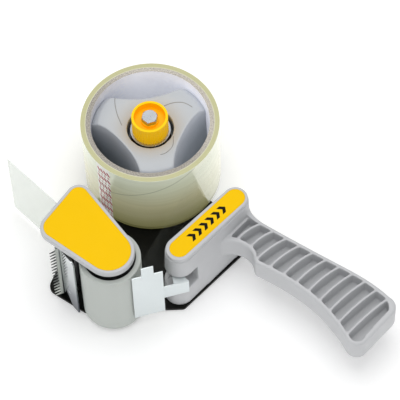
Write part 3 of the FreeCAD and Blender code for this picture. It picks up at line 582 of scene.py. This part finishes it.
# ---- blade --------------------------------------------------------------------------------------
def ground_blade():
    """The blade in the CAD blade's outline, with fewer, wider spaced teeth that stay distinct from afar."""
    low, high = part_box("cutting_blade")
    lip, thickness, reach, tooth, foot = math.radians(235), 0.6 * MM, 5.7 * MM, 3.8 * MM, 5.6 * MM
    count, share, rake = 16, 0.45, 1.8 * MM
    out = Vector((math.cos(lip), math.sin(lip), 0))
    side = Vector((-out.y, out.x, 0)) * thickness
    start = Vector((high[0] - side.x, high[1], 0))
    root = reach - tooth
    pitch = (high[2] - foot) / count
    points, faces = [], []
    for t in (Vector((0, 0, 0)), side):
        for i in range(count):
            z = foot + i * pitch
            for s, height in ((root, 0.0), (reach, share / 2 * pitch - rake), (root, share * pitch)):
                points.append(start + out * s + t + Vector((0, 0, z + height)))
        points.append(start + out * root + t + Vector((0, 0, high[2])))
        points.append(start + t + Vector((0, 0, high[2])))
        points.append(start + t + Vector((0, 0, foot)))
    half = len(points) // 2
    edge = [k for k in range(half) if k % 3 != 1 or k >= 3 * count]
    faces.append(tuple(edge))
    faces.append(tuple(half + k for k in reversed(edge)))
    for i in range(count):
        a = 3 * i
        faces.append((a, a + 1, a + 2))
        faces.append((half + a + 2, half + a + 1, half + a))
    for k in range(half):
        n = (k + 1) % half
        faces.append((n, k, half + k, half + n))
    obj = piece("ground_blade", points, faces, "blade", "root", False)
    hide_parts("cutting_blade")
    return obj


ground_blade()


# ---- marks on the handle's label ----------------------------------------------------------------
def label_marks():
    """A plain row of black chevrons along the handle's label."""
    low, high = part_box("handle_label")
    middle = (low[1] + high[1]) / 2 - 0.6 * MM
    count, pitch, lean = 6, 5.4, 0.036
    arrow = [(-2.9, -1.9), (0.0, 0.5), (2.9, -1.9), (2.9, 0.7), (0.0, 3.1), (-2.9, 0.7)]
    points, faces = [], []
    for i in range(count):
        base = len(points)
        for z in (high[2] - 0.05 * MM, high[2] + 0.05 * MM):
            for dx, dy in arrow:
                y = middle + ((i - (count - 1) / 2) * pitch + dy) * MM
                x = (low[0] + high[0]) / 2 + lean * (y - middle) + dx * MM
                points.append((x, y, z))
        for ends in ((5, 4, 1, 0), (4, 3, 2, 1), (7, 10, 11, 6), (8, 9, 10, 7)):
            faces.append(tuple(base + k for k in ends))
        for k in range(6):
            n = (k + 1) % 6
            faces.append((base + k, base + n, base + 6 + n, base + 6 + k))
    return piece("label_chevrons", points, faces, "ink", "root", False)


label_marks()


# ---- floor, light and camera --------------------------------------------------------------------
def floor():
    """A wide pale sheet just under the plate."""
    size = 4.0
    corners = [(-size, -size, 0), (size, -size, 0), (size, size, 0), (-size, size, 0)]
    mesh = bpy.data.meshes.new("floor")
    mesh.from_pydata(corners, [], [(0, 1, 2, 3)])
    obj = bpy.data.objects.new("floor", mesh)
    obj.location.z = -0.05 * MM
    bpy.context.scene.collection.objects.link(obj)
    t = Tree("pale_floor")
    t.set(Base_Color=(0.93, 0.93, 0.93, 1), Roughness=0.9)
    t.set(Emission_Color=(1, 1, 1, 1), Emission_Strength=0.22)
    mesh.materials.append(t.material)


def light(name, place, aim, size, power):
    """A square soft light that faces the aim."""
    lamp = bpy.data.lights.new(name, "AREA")
    lamp.size = size
    lamp.energy = power
    obj = bpy.data.objects.new(name, lamp)
    obj.location = place
    obj.rotation_euler = (Vector(place) - Vector(aim)).to_track_quat("Z", "Y").to_euler()
    bpy.context.scene.collection.objects.link(obj)


def sky():
    """Even white light, a little weaker towards the horizon."""
    world = bpy.data.worlds.new("sky")
    bpy.context.scene.world = world
    world.use_nodes = True
    tree = world.node_tree
    coordinates = tree.nodes.new("ShaderNodeTexCoord")
    parts = tree.nodes.new("ShaderNodeSeparateXYZ")
    ramp = tree.nodes.new("ShaderNodeValToRGB")
    tree.links.new(coordinates.outputs["Generated"], parts.inputs[0])
    tree.links.new(parts.outputs["Z"], ramp.inputs["Fac"])
    ramp.color_ramp.elements[0].color = (0.55, 0.56, 0.57, 1)
    ramp.color_ramp.elements[1].color = (1.0, 1.0, 1.0, 1)
    ramp.color_ramp.elements[1].position = 0.8
    background = tree.nodes["Background"]
    tree.links.new(ramp.outputs["Color"], background.inputs["Color"])
    background.inputs["Strength"].default_value = 0.72


def camera():
    """A long lens at the photograph's viewing angle, with its slight roll."""
    target = Vector((38.12, 3.41, 4.0)) * MM
    place = Vector((624.58, -603.89, 1444.45)) * MM
    back = (place - target).normalized()
    turn = math.radians(44.0)
    right = Vector((math.cos(turn), math.sin(turn), 0))
    up = back.cross(right)
    roll = math.radians(-2.33)
    right, up = right * math.cos(roll) + up * math.sin(roll), up * math.cos(roll) - right * math.sin(roll)
    data = bpy.data.cameras.new("camera")
    data.lens = 230.8
    data.sensor_width = 36.0
    data.clip_end = 20.0
    obj = bpy.data.objects.new("camera", data)
    obj.matrix_world = Matrix((
        (right.x, up.x, back.x, place.x),
        (right.y, up.y, back.y, place.y),
        (right.z, up.z, back.z, place.z),
        (0, 0, 0, 1),
    ))
    bpy.context.scene.collection.objects.link(obj)
    bpy.context.scene.camera = obj


floor()
sky()
light("overhead", (-0.05, 0.1, 1.2), (0.05, 0, 0.03), 0.9, 5.0)
light("front", (0.9, -1.1, 0.7), (0.05, 0, 0.03), 0.8, 1.2)
camera()
bpy.context.scene.view_settings.view_transform = "Standard"
